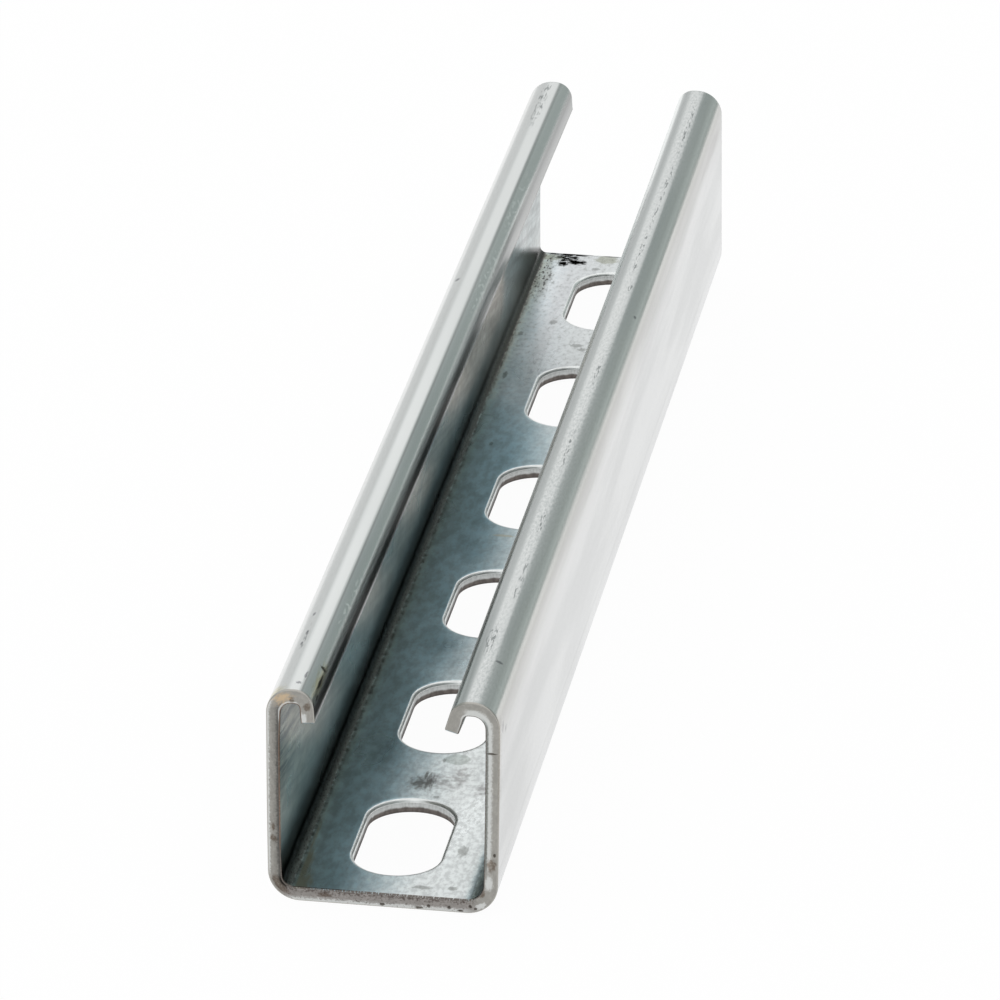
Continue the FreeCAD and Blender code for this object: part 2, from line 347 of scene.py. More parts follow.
class Sheet:
    """Points, four-sided faces, their places on the strip and their finishes, gathered as arrays."""

    def __init__(self):
        self.points, self.faces, self.places, self.finishes = [], [], [], []
        self.count = 0

    def add(self, x, y, z):
        """Adds points and gives back their numbers in the same layout."""
        x, y, z = np.broadcast_arrays(x, y, z)
        self.points.append(np.stack([x, y, z], axis=-1).reshape(-1, 3))
        numbers = self.count + np.arange(x.size).reshape(x.shape)
        self.count += x.size
        return numbers

    def patch(self, numbers, across, along, finish, flip=False):
        """Four-sided faces between neighbouring rows and columns of a grid of point numbers."""
        across, along = np.broadcast_to(across, numbers.shape), np.broadcast_to(along, numbers.shape)
        place = np.stack([across, along], axis=-1)
        corners = [(slice(0, -1), slice(0, -1)), (slice(0, -1), slice(1, None))]
        corners += [(slice(1, None), slice(1, None)), (slice(1, None), slice(0, -1))]
        corners = corners if flip else corners[::-1]
        self.faces.append(np.stack([numbers[c] for c in corners], axis=-1).reshape(-1, 4))
        self.places.append(np.stack([place[c] for c in corners], axis=2).reshape(-1, 4, 2))
        self.finishes.append(np.full(len(self.faces[-1]), finish))

    def mesh(self, name):
        """A Blender mesh of the gathered faces, without points that no face uses."""
        faces = np.concatenate(self.faces)
        used, faces = np.unique(faces, return_inverse=True)
        faces = faces.reshape(-1, 4)
        points = np.concatenate(self.points)[used]
        made = bpy.data.meshes.new(name)
        made.vertices.add(len(points))
        made.vertices.foreach_set("co", points.ravel())
        made.loops.add(faces.size)
        made.loops.foreach_set("vertex_index", faces.ravel().astype(np.int32))
        made.polygons.add(len(faces))
        made.polygons.foreach_set("loop_start", np.arange(0, faces.size, 4, dtype=np.int32))
        made.polygons.foreach_set("material_index", np.concatenate(self.finishes).astype(np.int32))
        layer = made.uv_layers.new(name="strip")
        layer.uv.foreach_set("vector", np.concatenate(self.places).ravel().astype(np.float32))
        made.update(calc_edges=True)
        made.validate()
        made.shade_smooth()
        made.set_sharp_from_angle(angle=SHARP_ANGLE)
        return made


def channel_surface(sizes):
    """The whole strip as a closed surface: outer and inner faces, lip edges, cut ends and slots."""
    t = sizes.thickness
    y, inset, middles, borders = rows_along(sizes)
    rows = len(y)
    sides = {sign: Side(sizes, sign, y) for sign in (-1, 1)}
    web_x = spread(-WEB_CELL_HALF, WEB_CELL_HALF, WEB_STEPS, last=True)[1:-1]
    sheet = Sheet()
    faces, across = {}, {}
    for depth in (0.0, t):
        halves = {}
        for sign, side in sides.items():
            x, z = half_section(side, depth, inset)
            halves[sign] = sign * sprung(side, x, z, depth), z
        level = np.clip(depth, inset, t - inset)[:, None] + 0.0 * web_x
        x = np.concatenate([halves[-1][0][:, ::-1], web_x + 0.0 * level, halves[1][0]], axis=1)
        z = np.concatenate([halves[-1][1][:, ::-1], level, halves[1][1]], axis=1)
        faces[depth] = sheet.add(x, (NEAR_END + y)[:, None], z)
        middle = rows // 2
        step = np.hypot(np.diff(x[middle]), np.diff(z[middle]))
        run = np.concatenate([[0.0], np.cumsum(step)])
        column = halves[-1][0].shape[1] - 1
        run += x[middle, column] - run[column]
        across[depth] = run + ACROSS_OFFSET
    first = faces[0.0].shape[1] // 2 - WEB_STEPS // 2
    last = first + WEB_STEPS
    along = y[:, None]
    for depth, finish, flip in ((0.0, OUTSIDE, False), (t, INSIDE, True)):
        numbers, run = faces[depth], across[depth][None, :]
        for columns in (slice(0, first + 1), slice(last, None)):
            sheet.patch(numbers[:, columns], run[:, columns], along, finish, flip)
        for band in (slice(0, borders[0] + 1), slice(borders[-1], None)):
            columns = slice(first, last + 1)
            sheet.patch(numbers[band, columns], run[:, columns], along[band], finish, flip)
    for column, flip in ((0, True), (-1, False)):
        edge = np.stack([faces[0.0][:, column], faces[t][:, column]], axis=1)
        sheet.patch(edge, np.array([0.0, t]), along, LIP_EDGE, flip)
    for row, flip in ((0, True), (-1, False)):
        end = np.stack([faces[0.0][row], faces[t][row]], axis=0)
        sheet.patch(end, across[0.0][None, :], np.array([[0.0], [t]]), CUT_FACE, flip)
    for middle, low, high in zip(middles, borders[:-1], borders[1:]):
        slot_cell(sheet, sizes, faces, across, y, middle, (low, high), (first, last))
    return sheet


def cell_border(grid, low, high, first, last):
    """The border of a block of a grid, once round from its near left corner, without a repeat."""
    near = grid[low, first:last]
    right = grid[low:high, last]
    far = grid[high, last:first:-1]
    left = grid[high:low:-1, first]
    return np.concatenate([near, right, far, left])


WEB_SHARES = np.array([0.06, 0.16, 0.32, 0.55, 0.78])[:, None]
RIM_STEPS = 4
WALL_LEVELS = np.array([0.0, 0.25, 0.45, 0.5, 0.75, 0.96, 1.0])[:, None]
WALL_OPENING = 0.0001 * np.array([0.0, 0.0, 0.0, 0.5, 1.0, 1.2, 2.0])[:, None]
TEAR_SHARE, TEAR_LONG, TEAR_SHORT = 0.06, 0.0031, 0.0013


def slot_cell(sheet, sizes, faces, across, y, middle, row_span, column_span):
    """One slot with its rim and wall, and the web between it and the cell's straight border.

    The rim is a quarter round, the wall opens downwards by WALL_OPENING, and the line between its
    burnished and its torn part waves as a product of two sines. The web's points run in straight
    lines, by WEB_SHARES, from the slot's edge to the border.
    """
    t = sizes.thickness
    radius = sizes.slot_width / 2
    half_straight = sizes.slot_length / 2 - radius
    quarter_round = math.pi * radius / 2
    low, high = row_span
    first, last = column_span
    wide, tall = last - first, high - low
    start = 4 * half_straight + 2.5 * quarter_round
    near = spread(0.0, quarter_round, wide)
    right = quarter_round + spread(0.0, quarter_round + 2 * half_straight, tall)
    half_way = 2 * quarter_round + 2 * half_straight
    distance = start + np.concatenate([near, right, half_way + near, half_way + right])

    def border(grid):
        return cell_border(grid, low, high, first, last)[None, :]

    def ring(offset):
        x, along = slot_loop(distance, radius, half_straight, offset)
        return x, along + middle

    def closed(grid):
        return np.concatenate([grid, grid[:, :1]], axis=1)

    def web(face, edge_numbers, edge_x, edge_y, offset, finish, flip):
        """The flat web of one face, from the slot's edge, whose points are there, to the border."""
        border_x = border(across[face] + 0.0 * y[:, None])
        border_y = border(y[:, None] + 0.0 * across[face])
        x, along = ring(offset)
        x = x + (border_x - ACROSS_OFFSET - x) * WEB_SHARES
        along = along + (border_y - along) * WEB_SHARES
        new = sheet.add(x, NEAR_END + along, face)
        numbers = np.concatenate([edge_numbers, new, border(faces[face])])
        place_x = np.concatenate([edge_x + ACROSS_OFFSET, x + ACROSS_OFFSET, border_x])
        place_y = np.concatenate([edge_y, along, border_y])
        sheet.patch(closed(numbers), closed(place_x), closed(place_y), finish, flip)

    rim = sizes.rim_radius
    phi = spread(0.0, math.pi / 2, RIM_STEPS, last=True)[:, None]
    rim_x, rim_y = ring(rim * (1.0 - np.cos(phi)))
    rim_z = t - rim * (1.0 - np.sin(phi))
    rim_numbers = sheet.add(rim_x, NEAR_END + rim_y, rim_z + 0.0 * rim_x)
    web(t, rim_numbers[-1:], rim_x[-1:], rim_y[-1:], rim, INSIDE, False)
    sheet.patch(closed(rim_numbers), closed(rim_x + ACROSS_OFFSET), closed(rim_y), SLOT_RIM)
    wall_x, wall_y = ring(WALL_OPENING)
    tear = TEAR_SHARE * np.sin(distance / TEAR_LONG) * np.sin(distance / TEAR_SHORT + 1.0)
    tear = tear * (WALL_LEVELS * (1 - WALL_LEVELS) * 4)
    wall_z = (t - rim) * (1.0 - WALL_LEVELS - tear)
    wall_new = sheet.add(wall_x[1:], NEAR_END + wall_y[1:], wall_z[1:])
    wall_numbers = np.concatenate([rim_numbers[:1], wall_new])
    loop = np.append(distance - start, 2 * half_way)
    sheet.patch(closed(wall_numbers), loop[None, :], closed(t - wall_z), SLOT_WALL, True)
    web(0.0, wall_numbers[-1:], wall_x[-1:], wall_y[-1:], WALL_OPENING[-1, 0], OUTSIDE, True)


MILLIMETRES = 1000.0
RELIEF_DEPTH = 0.00005
LINE_MIDDLE, LINE_REACH = 150.0, 400.0
MID_STEEL, PAST_FACES = 1.3, 40.0
MARK_SCALE, MARK_DETAIL, MARK_ROUGH = 1.6, 1.0, 0.6
NODES_IN_COLUMN, NODE_WIDTH, NODE_HEIGHT = 6, 180, 170


def grey(value):
    """A neutral colour of this level."""
    return (value, value, value)


def scaled(tone, factor):
    """A colour made lighter or darker by a factor."""
    return [part * factor for part in tone]


class Pattern:
    """Adds nodes to a tree and hands back the sockets that carry their results.

    Places and sizes on the strip are in millimetres, and a plain number does for a neutral colour.
    """

    def __init__(self, tree):
        self.tree = tree
        self.tree.nodes.clear()
        self.made = 0
        self.spot = None

    def node(self, kind, **settings):
        """A new node with these settings, in the editor's next free place, column by column."""
        made = self.tree.nodes.new(kind)
        column, row = divmod(self.made, NODES_IN_COLUMN)
        made.location = (column * NODE_WIDTH, -row * NODE_HEIGHT)
        self.made += 1
        for key, value in settings.items():
            setattr(made, key, value)
        return made

    def feed(self, socket, value):
        """Links a socket to an input, or writes a plain value there."""
        if isinstance(value, bpy.types.NodeSocket):
            self.tree.links.new(value, socket)
        elif socket.type == "RGBA":
            tone = grey(value) if isinstance(value, (int, float)) else value
            socket.default_value = (*tone, 1.0)[:4]
        else:
            socket.default_value = value

    def feed_all(self, node, **values):
        """Feeds inputs of a node by their names, with _ for a space."""
        for name, value in values.items():
            self.feed(node.inputs[name.replace("_", " ")], value)

    def math(self, operation, *values):
        """One step of arithmetic."""
        made = self.node("ShaderNodeMath", operation=operation)
        for socket, value in zip(made.inputs, values):
            self.feed(socket, value)
        return made.outputs[0]

    def vector(self, operation, *values):
        """One step of arithmetic on vectors."""
        made = self.node("ShaderNodeVectorMath", operation=operation)
        for socket, value in zip(made.inputs, values):
            self.feed(socket, value)
        return made.outputs["Value" if operation == "LENGTH" else "Vector"]

    def chain(self, operation, values):
        """One kind of arithmetic carried through several values."""
        total = values[0]
        for value in values[1:]:
            total = self.math(operation, total, value)
        return total

    def times(self, *values):
        """The product of several values."""
        return self.chain("MULTIPLY", values)

    def plus(self, *values):
        """The sum of several values."""
        return self.chain("ADD", values)

    def most(self, *values):
        """The largest of several values."""
        return self.chain("MAXIMUM", values)

    def ramp(self, value, low, high, start=0.0, stop=1.0, smooth=True):
        """A value brought from low..high to start..stop, held at both ends."""
        made = self.node("ShaderNodeMapRange", interpolation_type="SMOOTHSTEP" if smooth else "LINEAR")
        self.feed_all(made, Value=value, From_Min=low, From_Max=high, To_Min=start, To_Max=stop)
        return made.outputs["Result"]

    def even(self, value, low, high, start, stop):
        """A ramp in a straight line."""
        return self.ramp(value, low, high, start, stop, smooth=False)

    def mix(self, factor, first, second, blend_type="MIX"):
        """One colour mixed into another."""
        made = self.node("ShaderNodeMix", data_type="RGBA", blend_type=blend_type)
        self.feed(made.inputs[0], factor)
        self.feed(made.inputs[6], first)
        self.feed(made.inputs[7], second)
        return made.outputs[2]

    def place(self):
        """Places across the strip from its middle and along it from the near end.

        Marks are laid about the same places.
        """
        split = self.node("ShaderNodeSeparateXYZ")
        self.feed(split.inputs[0], self.node("ShaderNodeUVMap", uv_map="strip").outputs[0])
        across = self.math("MULTIPLY_ADD", split.outputs[0], MILLIMETRES, -MILLIMETRES * ACROSS_OFFSET)
        along = self.times(split.outputs[1], MILLIMETRES)
        self.spot = self.together(across, along)
        return across, along

    def together(self, across, along):
        """Two places as one point."""
        made = self.node("ShaderNodeCombineXYZ")
        self.feed(made.inputs[0], across)
        self.feed(made.inputs[1], along)
        return made.outputs[0]

    def mark(self, across, along, half_across, half_along, ragged=0.5, soft=0.35):
        """1 inside a ragged ellipse about a point of the strip, 0 outside it."""
        made = self.node("ShaderNodeGroup", node_tree=mark_group())
        self.feed_all(
            made, Place=self.spot, Middle=(across, along, 0.0), Half=(half_across, half_along, 1.0),
            Ragged=ragged, Soft=soft,
        )
        return made.outputs["Inside"]

    def marks(self, listed):
        """The strongest of several marks."""
        return self.most(*[self.mark(*each) for each in listed])

    def line(self, across, half_across, soft, reach=LINE_REACH):
        """A straight mark along the whole strip."""
        return self.mark(across, LINE_MIDDLE, half_across, reach, 0.0, soft)

    def stretch(self, across, half_across, ragged=0.1, soft=0.1, depth=MID_STEEL):
        """A mark through the steel's whole thickness, on a cut end."""
        return self.mark(across, depth, half_across, PAST_FACES, ragged, soft)

    def dyed(self, tone, tint):
        """A colour multiplied by a tint."""
        return self.mix(1.0, tone, tint, "MULTIPLY")

    def tinted(self, tone, share, tint):
        """A colour multiplied by a tint where a mark lies."""
        return self.mix(share, tone, self.dyed(tone, tint))

    def stops(self, value, colours):
        """A colour that follows a value through (place, colour) stops."""
        low, high = colours[0][0], colours[-1][0]
        made = self.node("ShaderNodeValToRGB")
        elements = made.color_ramp.elements
        while len(elements) < len(colours):
            elements.new(1.0)
        for element, (place, tone) in zip(elements, colours):
            element.position = (place - low) / (high - low)
            tone = grey(tone) if isinstance(tone, (int, float)) else tone
            element.color = (*tone, 1.0)
        self.feed(made.inputs[0], self.even(value, low, high, 0.0, 1.0))
        return made.outputs[0]

    def cloud(self, point, scale, detail, rough):
        """Cloudy noise at a point."""
        made = self.node("ShaderNodeTexNoise", noise_dimensions="2D")
        self.feed_all(made, Vector=point, Scale=scale, Detail=detail, Roughness=rough)
        return made.outputs["Fac"]

    def noise(self, across, along, size_across, size_along, detail=3.0, rough=0.5, seed=0.0):
        """Cloudy noise whose clouds measure so many millimetres across and along."""
        across = self.math("MULTIPLY_ADD", across, 1.0 / size_across, seed)
        along = self.math("MULTIPLY_ADD", along, 1.0 / size_along, seed)
        return self.cloud(self.together(across, along), 1.0, detail, rough)

    def slant(self, across, along, slope):
        """The place across, moved in step with the place along."""
        return self.math("MULTIPLY_ADD", along, slope, across)

    def metal(self, base, roughness, relief, strength=0.2, metallic=1.0, edge=1.0):
        """The metal shader: colour, roughness, relief and the tint of its glancing reflections."""
        shader = self.node("ShaderNodeBsdfPrincipled")
        bump = self.node("ShaderNodeBump")
        self.feed_all(bump, Strength=strength, Distance=RELIEF_DEPTH, Height=relief)
        self.feed_all(
            shader, Base_Color=base, Metallic=metallic, Roughness=roughness, Specular_Tint=edge,
            Normal=bump.outputs[0],
        )
        self.finish("ShaderNodeOutputMaterial", shader)

    def finish(self, kind, shader):
        """The tree's output, fed by a shader."""
        self.tree.links.new(shader.outputs[0], self.node(kind).inputs[0])


def mark_group():
    """The node group behind every mark.

    Inside = smoothstep from 1 + Soft down to 1 - Soft of |(Place - Middle) / Half| plus a noise of
    the size Ragged, whose clouds follow the mark's own size.
    """
    name = "strip mark"
    if name in bpy.data.node_groups:
        return bpy.data.node_groups[name]
    group = bpy.data.node_groups.new(name, "ShaderNodeTree")
    for label in ("Place", "Middle", "Half"):
        group.interface.new_socket(label, in_out="INPUT", socket_type="NodeSocketVector")
    for label in ("Ragged", "Soft"):
        group.interface.new_socket(label, in_out="INPUT", socket_type="NodeSocketFloat")
    group.interface.new_socket("Inside", in_out="OUTPUT", socket_type="NodeSocketFloat")
    p = Pattern(group)
    given = p.node("NodeGroupInput").outputs
    offset = p.vector("DIVIDE", p.vector("SUBTRACT", given["Place"], given["Middle"]), given["Half"])
    point = p.vector("ADD", offset, given["Middle"])
    cloud = p.cloud(point, MARK_SCALE, MARK_DETAIL, MARK_ROUGH)
    uneven = p.times(p.math("MULTIPLY_ADD", cloud, 2.0, -1.0), given["Ragged"])
    reach = p.plus(p.vector("LENGTH", offset), uneven)
    inside = p.ramp(reach, p.math("SUBTRACT", 1.0, given["Soft"]), p.plus(1.0, given["Soft"]), 1.0, 0.0)
    p.feed_all(p.node("NodeGroupOutput"), Inside=inside)
    return group


def new_material(name):
    """An empty material and the pattern that fills it."""
    material = bpy.data.materials.new(name)
    material.use_nodes = True
    return material, Pattern(material.node_tree)


def outside_zinc(finish):
    """Zinc on the outer faces: fine streaks along the strip, scratches and nicks.

    Painted shading runs across the section, and painted shade lies on the left return.
    """
    material, p = new_material("outside_zinc")
    across, along = p.place()
    streak = p.noise(across, along, 0.5, 170)
    cloud = p.noise(across, along, 9, 70, seed=3)
    grain = p.noise(across, along, 0.45, 1.3, detail=4, rough=0.65, seed=5)
    tone = p.mix(p.ramp(streak, 0.35, 0.65), finish.outside, scaled(finish.outside, 0.95))
    tone = p.mix(p.ramp(cloud, 0.4, 0.7, 0, 0.5), tone, scaled(finish.outside, 0.93))
    tone = p.mix(p.ramp(grain, 0.3, 0.7), scaled(finish.outside, 1.03), tone)
    # Painted shading across the section, the same all along: darker towards the right wall's top and on
    # the right lip, with painted highlights on the right shoulder and the right lip's bend.
    section_shading = p.stops(across, [
        (-60.5, (1, 1, 0.99)), (-60.1, (0.93, 0.92, 0.92)), (-54, (1, 0.99, 0.99)),
        (0, (0.92, 0.9, 0.91)), (44, (0.79, 0.78, 0.79)), (49, (0.79, 0.77, 0.78)),
        (50.5, (0.71, 0.7, 0.7)), (51.5, (0.67, 0.66, 0.65)), (53.5, (0.63, 0.61, 0.6)),
        (54.8, (0.63, 0.61, 0.6)), (55.5, (0.67, 0.65, 0.63)), (56.5, (0.9, 0.88, 0.86)),
        (57.3, (1.16, 1.14, 1.13)), (58.3, (0.89, 0.88, 0.87)), (59.5, 0.82),
        (60.4, (0.76, 0.77, 0.77)), (61.2, 0.84), (62.2, 0.87), (63, (0.78, 0.79, 0.79)),
        (63.5, (0.68, 0.69, 0.69)), (64.1, (0.66, 0.67, 0.67)), (64.35, (0.86, 0.87, 0.87)),
        (64.7, 1.15), (65.2, 1.25),
    ])
    tone = p.dyed(tone, section_shading)
    # Painted shade on the left lip's bend and return, darkest on the return; under_far is the lighter
    # painted shade of the far end.
    under = p.stops(across, [
        (-69.8, 0.2), (-69.25, 0.36), (-68.95, 0.2), (-68.7, 0.08), (-68.3, 0.08), (-67.9, 0.15),
        (-67.4, 0.2), (-66.8, 0.68), (-66.2, (1, 1.04, 1.04)), (-65.8, (1.02, 1.05, 1.05)),
        (-65, (0.81, 0.83, 0.83)), (-63.4, (0.83, 0.84, 0.85)), (-63.1, 0.62), (-62.85, 0.94),
        (-60.5, 1), (-60.2, 0.93),
    ])
    under_far = p.stops(across, [
        (-69.8, (0.44, 0.43, 0.425)), (-69.2, (0.5, 0.49, 0.485)), (-68.2, 0.4), (-67.2, 0.31),
        (-66.4, 0.29), (-65.8, 0.46), (-65.3, 0.96), (-63.5, 0.98), (-63.15, 0.72), (-62.9, 0.74),
        (-62.6, 0.9), (-60.5, 0.93),
    ])
    lines = [p.line(*each, 0.6) for each in ((53.8, 0.16), (52.2, 0.2), (26, 0.4))]
    tone = p.tinted(tone, p.most(*lines), 0.93)
    pitted = p.times(p.line(61.2, 1.3, 0.4), p.ramp(cloud, 0.35, 0.55, 0.4, 1))
    tone = p.tinted(tone, p.times(pitted, p.ramp(grain, 0.46, 0.64)), (0.86, 0.88, 0.88))
    tone = p.tinted(tone, p.times(pitted, p.ramp(grain, 0.42, 0.3)), 1.08)
    # The left lip's painted shade, turning to its far-end version.
    lip = p.mix(p.ramp(along, 120, 235), under, under_far)
    tone = p.mix(p.ramp(across, -60.1, -60.3), tone, p.dyed(finish.outside, lip))
    # A ragged dark line of painted shade along the left return's lower edge.
    crease_shade = p.times(p.line(-69.35, 0.16, 0.6), p.ramp(grain, 0.35, 0.6))
    tone = p.tinted(tone, crease_shade, 0.35)
    scratched = p.marks([
        (61.1, 250, 0.38, 9), (61.2, 234, 0.35, 9), (61.3, 211, 0.38, 12), (60.9, 193, 0.5, 2),
        (61, 79, 0.45, 5), (60.9, 53, 0.45, 8), (61, 280, 0.35, 14), (61.1, 150, 0.35, 6),
        (61.2, 112, 0.35, 9), (62.2, 27, 0.8, 6), (-60.6, 289, 0.8, 13), (-59.6, 22.5, 0.35, 4.5),
    ])
    speck = p.ramp(p.noise(across, along, 0.34, 2.6, rough=0.6, seed=9), 0.5, 0.6)
    tone = p.tinted(tone, p.times(scratched, speck), (0.4, 0.42, 0.42))
    smeared = p.times(p.mark(52.2, 284, 1.6, 14), p.ramp(cloud, 0.3, 0.6))
    tone = p.tinted(tone, smeared, (0.84, 0.82, 0.83))
    nicks = p.marks([
        (-59.5, 25, 0.25, 0.9, 0.8), (-59.3, 33, 0.25, 0.7, 0.8), (-59, 192.5, 0.5, 0.7, 0.8),
        (59.4, 18.4, 0.7, 0.45, 0.3), (57.9, 181, 0.3, 0.6), (-62.7, 7, 0.2, 1.4, 0.8),
        (-62, 3.5, 0.5, 0.5, 0.8), (52.9, 3.6, 0.9, 0.9, 0.8, 0.6), (51.2, 6.8, 0.5, 0.9, 0.8, 0.6),
        (-59.3, 20.5, 0.25, 0.6, 0.8),
    ])
    tone = p.tinted(tone, nicks, (0.45, 0.45, 0.47))
    dotted = p.marks([(-64.8, 194, 1.1, 16), (-65.1, 40, 0.9, 13), (-64.3, 236, 0.9, 15)])
    dot = p.ramp(p.noise(across, along, 0.6, 1.6, detail=0, seed=13), 0.6, 0.68)
    tone = p.mix(p.times(dotted, dot), tone, scaled(finish.outside, 1.16))
    halo = p.marks([(-65.7, 8, 0.9, 5.5, 0.8, 0.9), (-57.5, 0.8, 1.8, 1.8, 0.6, 0.9)])
    tone = p.tinted(tone, halo, (0.82, 0.75, 0.52))
    crack = p.marks([(-65.75, 8, 0.3, 2.6, 0.6), (-65.3, 12.9, 0.7, 0.6, 0.9), (-66.6, 3.5, 0.3, 1.2)])
    tone = p.mix(crack, tone, (0.028, 0.024, 0.008))
    tone = p.mix(p.ramp(along, 0.7, 0.3), tone, scaled(finish.cut, 1.15))
    ending = p.times(p.ramp(along, 3.5, 0.8), p.mark(46, 0, 8, 8, 0.3, 0.4))
    tone = p.tinted(tone, p.times(ending, p.ramp(grain, 0.3, 0.55)), (0.8, 0.78, 0.74))
    dulled = p.mark(64.3, 4, 1.4, 30, 0.2, 0.6)
    tone = p.tinted(tone, dulled, (0.62, 0.66, 0.65))
    near_right = p.times(p.ramp(along, 80, 5), p.ramp(across, 52, 44), p.ramp(across, 5, 15))
    tone = p.tinted(tone, near_right, 0.9)
    rough = p.ramp(cloud, 0.3, 0.7, finish.roughness - 0.03, finish.roughness + 0.05)
    rough = p.plus(rough, p.ramp(across, 64.6, 66.4, 0, 0.25))
    # Painted shade in the glancing reflections of the left lip's bend and return, fading out past 130
    # mm towards the far end.
    glancing = p.stops(across, [
        (-69.8, 1), (-69.2, 0.75), (-68.9, 0.45), (-68.5, 0.3), (-67.3, 0.3), (-66.7, 0.7), (-66.2, 1),
    ])
    glancing = p.mix(p.ramp(along, 130, 215), glancing, 1)
    p.metal(tone, rough, streak, strength=0.12, edge=glancing)
    return material


def inside_zinc(finish):
    """Duller zinc on the inner faces: bluish at the left, mottled white at the right and far off.

    The spread from bluish to white is partly real patches and partly painted light. Painted shade lies
    in the bends and low on the walls, specks of dirt lie in the left bend, and the stains, tool marks
    and chips of its rough life lie over it.
    """
    material, p = new_material("inside_zinc")
    across, along = p.place()
    ragged = p.noise(across, along, 1.2, 2, detail=4, rough=0.65)
    fine = p.noise(across, along, 2, 1.3, rough=0.6)
    mottle = p.noise(across, along, 1.9, 4.4, detail=4, rough=0.6, seed=41)
    blotch = p.noise(across, along, 0.95, 1.7, rough=0.62, seed=7)
    cloud = p.noise(across, along, 14, 22, detail=2, seed=11)
    grit = p.noise(across, along, 0.28, 0.9, rough=0.6, seed=17)
    # Where the web turns from bluish to white: real patches from the noises, and painted light that
    # grows towards the right, dims from 100 mm on and rises strongly past 200 mm towards the far end.
    painted_light_and_patches = p.plus(
        p.math("DIVIDE", across, 8), p.even(along, 20, 100, 0.82, 0.85),
        p.even(along, 100, 180, 0, -0.27), p.ramp(along, 198, 240, 0, 2),
        p.even(cloud, 0.2, 0.8, -0.4, 0.4), p.even(ragged, 0.3, 0.7, -0.2, 0.2),
    )
    bright_share = p.ramp(painted_light_and_patches, -0.6, 1.5)
    outside = finish.outside
    dark_blotch = p.mix(p.ramp(along, 60, 215), scaled(outside, 0.74), scaled(outside, 0.84))
    bright = p.mix(p.ramp(blotch, 0.34, 0.68), outside, dark_blotch)
    dull = p.mix(p.ramp(mottle, 0.3, 0.7), scaled(finish.inside, 1.17), scaled(finish.inside, 0.83))
    # Painted light along the length: the dull zinc is lighter near the near end, a little darker from
    # 100 mm on, and lighter again past 190 mm towards the far end.
    lighter = p.times(
        p.ramp(along, 50, 12, 1, 1.16), p.ramp(along, 100, 160, 1, 0.9),
        p.ramp(along, 190, 225, 1, 1.26),
    )
    dull = p.dyed(dull, lighter)
    # Painted light across the web, with a bluer tint: at the near end the web is lighter and bluer from
    # the left bend inwards; at the far end it is darker in the left bend and lighter just beside it.
    near = p.stops(across, [
        (-15.5, (0.93, 0.98, 0.97)), (-13, (1.02, 1.16, 1.21)), (-10, (1.24, 1.45, 1.54)),
        (-6, (1.23, 1.44, 1.52)), (-3, (1.27, 1.41, 1.47)), (0, (1.25, 1.33, 1.36)),
        (6, (1.2, 1.22, 1.23)),
    ])
    far = p.stops(across, [
        (-16.6, (0.86, 0.86, 0.84)), (-15.6, 0.95), (-13, (1.14, 1.14, 1.17)),
        (-10, (0.95, 0.95, 0.98)), (-5, (0.95, 0.96, 0.98)), (0, (0.96, 0.97, 0.98)),
    ])
    web = p.mix(bright_share, dull, bright)
    web = p.dyed(web, p.mix(p.ramp(along, 185, 242), near, far))
    web = p.tinted(web, p.mark(-13.3, 160, 2.3, 90, 0.05, 0.9), (1.15, 1.23, 1.27))
    web = p.tinted(web, p.mark(-7.6, 145, 2.8, 80, 0.1, 0.9), (0.87, 0.94, 0.97))
    fleck = p.times(p.ramp(blotch, 0.6, 0.7), p.ramp(along, 215, 255))
    web = p.tinted(web, fleck, (0.82, 0.82, 0.8))
    # Painted shade across the left side: a thin painted highlight on the web beside the bend,
    # near-black shade in the bend and low on the wall, lightening up the wall and darker again under
    # the lip.
    aside = p.plus(p.math("ABSOLUTE", across), p.even(ragged, 0.25, 0.75, -0.35, 0.35))
    corner = p.stops(aside, [
        (13.8, 1), (14.6, (1.12, 1.14, 1.13)), (15.2, (1.27, 1.32, 1.29)), (15.8, (1.32, 1.34, 1.26)),
        (16.15, (0.96, 0.93, 0.86)), (16.5, (0.23, 0.21, 0.18)), (16.8, (0.13, 0.12, 0.1)),
        (17.2, (0.21, 0.195, 0.17)), (17.7, (0.17, 0.155, 0.135)), (18.2, (0.025, 0.025, 0.02)),
        (19.6, (0.012, 0.018, 0.018)), (21.5, (0.025, 0.04, 0.037)), (24, (0.13, 0.16, 0.15)),
        (28, (0.58, 0.61, 0.6)), (34, (0.86, 0.87, 0.85)), (40, (0.76, 0.76, 0.74)),
        (43, (0.46, 0.46, 0.44)), (50, (0.41, 0.4, 0.38)),
    ])
    # At the far end the left side's painted shade gives way to painted light past a slanted edge.
    swept = p.times(p.ramp(p.slant(across, along, -0.386), -134.3, -135.2), p.ramp(along, 250, 258))
    corner = p.mix(swept, corner, (1.33, 1.17, 1.13))
